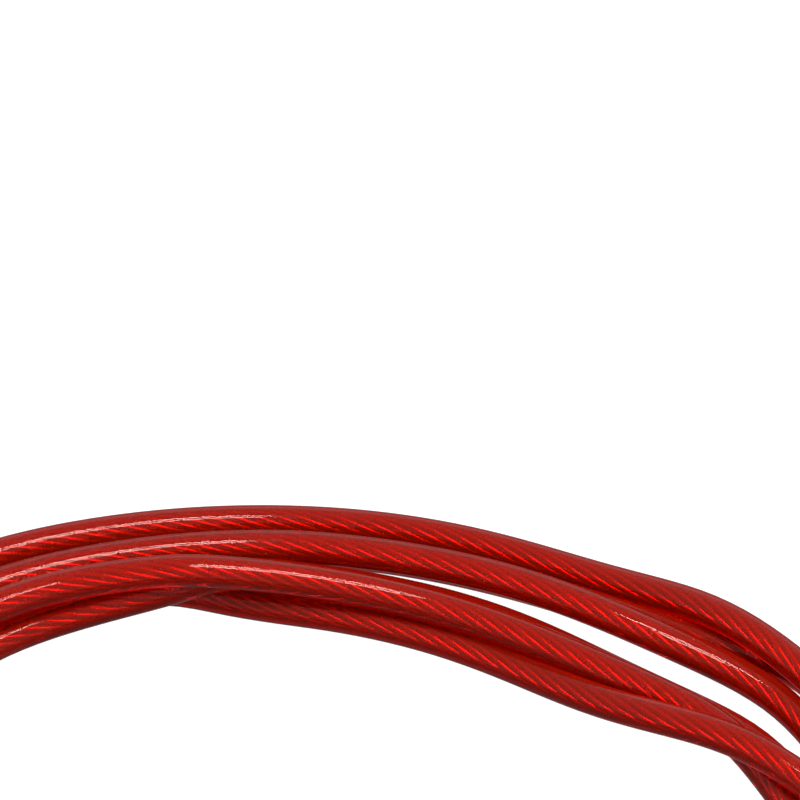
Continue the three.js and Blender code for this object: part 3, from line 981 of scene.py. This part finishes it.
cable_main = jacket("cable_jacket_main", main_line, VINYL)
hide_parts("cable_lead", "cable_coil")
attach(cable_main, "body")
rope_main = rope("cable_rope_main", main_line, STRAND)
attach(rope_main, "body")

cable_tail = jacket("cable_jacket_tail", tail_line, VINYL)
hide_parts("cable_tail")
rope_tail = rope("cable_rope_tail", tail_line, STRAND, main_length)
for piece in (cable_tail, rope_tail):
    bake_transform(piece)

[tuple(p) for p in resampled(main_line, JACKET_STEP)]
[tuple(p) for p in resampled(tail_line, JACKET_STEP)]

# ---------------------------------------------------------------- camera, floor and light

ELEVATION = math.radians(53)
FRAME_WIDTH = 24.2 * CABLE_D
LENS = 500.0
SENSOR = 36.0
APEX_LEFT = 3.3 * MM  # from the middle of the coil to the top of its far arc
AIM_RIGHT = 13.1 * MM  # from the top of the far arc to the middle of the picture
AIM_UP = 9.8 * MM
EYE_BACK = 13 * MM
LIGHT_RUN = 0.148  # the overhead lights stand this far to the right, and lean back over the coil
LIGHT_HEIGHT = 0.6
LIGHT_SIZE = (0.07, 0.305)
LIGHT_POWER = 2.3
SKY = ((0.0, 0.2), (0.44, 0.25), (0.56, 1.0), (0.75, 0.85), (1.0, 0.75))  # tone from below to above
FLOOR_HALF = 3.0


def camera():
    """Looks along +Y and down. The picture's middle lies beyond the coil's far edge."""
    low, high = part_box("cable_coil")
    far_x = (low[0] + high[0]) / 2 - APEX_LEFT
    top = (high[1] - CABLE_R) * math.sin(ELEVATION) + CABLE_R * math.cos(ELEVATION) + CABLE_R
    aim = Vector((far_x + AIM_RIGHT, (top + AIM_UP) / math.sin(ELEVATION), 0))
    toward = Vector((0, -math.cos(ELEVATION), math.sin(ELEVATION)))
    distance = FRAME_WIDTH * LENS / SENSOR + EYE_BACK
    data = bpy.data.cameras.new("camera")
    data.lens = LENS
    data.sensor_width = SENSOR
    data.clip_start = 0.01
    data.clip_end = 10
    eye = in_scene("camera", data)
    eye.location = aim + toward * distance
    eye.rotation_euler = (-toward).to_track_quat("-Z", "Y").to_euler()
    bpy.context.scene.camera = eye


def area_light(name, place, target, size, power):
    """A rectangular light. For one that points down, the first size runs along Y."""
    data = bpy.data.lights.new(name, "AREA")
    data.energy = power
    data.shape = "RECTANGLE"
    data.size, data.size_y = size
    light = in_scene(name, data)
    light.location = place
    light.rotation_euler = (Vector(target) - Vector(place)).to_track_quat("-Z", "Y").to_euler()


def sky():
    """A plain studio surround, pale above and dim below."""
    world = bpy.data.worlds.new("studio")
    bpy.context.scene.world = world
    world.use_nodes = True
    tree = world.node_tree
    place = tree.nodes.new("ShaderNodeTexCoord")
    parts = tree.nodes.new("ShaderNodeSeparateXYZ")
    height = tree.nodes.new("ShaderNodeMapRange")
    height.inputs["From Min"].default_value = -1.0
    ramp = tree.nodes.new("ShaderNodeValToRGB")
    link(tree, place.outputs["Generated"], parts.inputs["Vector"])
    link(tree, parts.outputs["Z"], height.inputs["Value"])
    link(tree, height.outputs["Result"], ramp.inputs["Fac"])
    link(tree, ramp.outputs["Color"], tree.nodes["Background"].inputs["Color"])
    while len(ramp.color_ramp.elements) < len(SKY):
        ramp.color_ramp.elements.new(0.5)
    for element, (position, tone) in zip(ramp.color_ramp.elements, SKY):
        element.position = position
        element.color = (tone, tone, tone, 1)
    tree.nodes["Background"].inputs["Strength"].default_value = 1.0


def white_floor():
    """A floor as white as the photograph's ground. It lights and mirrors nothing, so that the metal keeps its
    contrast."""
    material, _, shader = node_material("floor_white")
    shader.inputs["Base Color"].default_value = (0.15, 0.15, 0.15, 1)
    shader.inputs["Emission Color"].default_value = (1, 1, 1, 1)
    shader.inputs["Emission Strength"].default_value = 1.0
    shader.inputs["Roughness"].default_value = 0.9
    shader.inputs["Specular IOR Level"].default_value = 0.1
    corners = [(x * FLOOR_HALF, y * FLOOR_HALF, 0) for x, y in ((-1, -1), (1, -1), (1, 1), (-1, 1))]
    floor = new_piece("floor", corners, [(0, 1, 2, 3)], material, smooth=False)
    floor.visible_diffuse = False
    floor.visible_glossy = False
    floor.visible_transmission = False


def studio():
    """The surround, the floor and two strip lights, which draw the lines of light along the cable."""
    sky()
    white_floor()
    for y in (0.06, 0.19):
        area_light("overhead", (LIGHT_RUN, y, LIGHT_HEIGHT), (0.02, y, 0), LIGHT_SIZE, LIGHT_POWER)
    bpy.context.scene.view_settings.view_transform = "Standard"


camera()
studio()
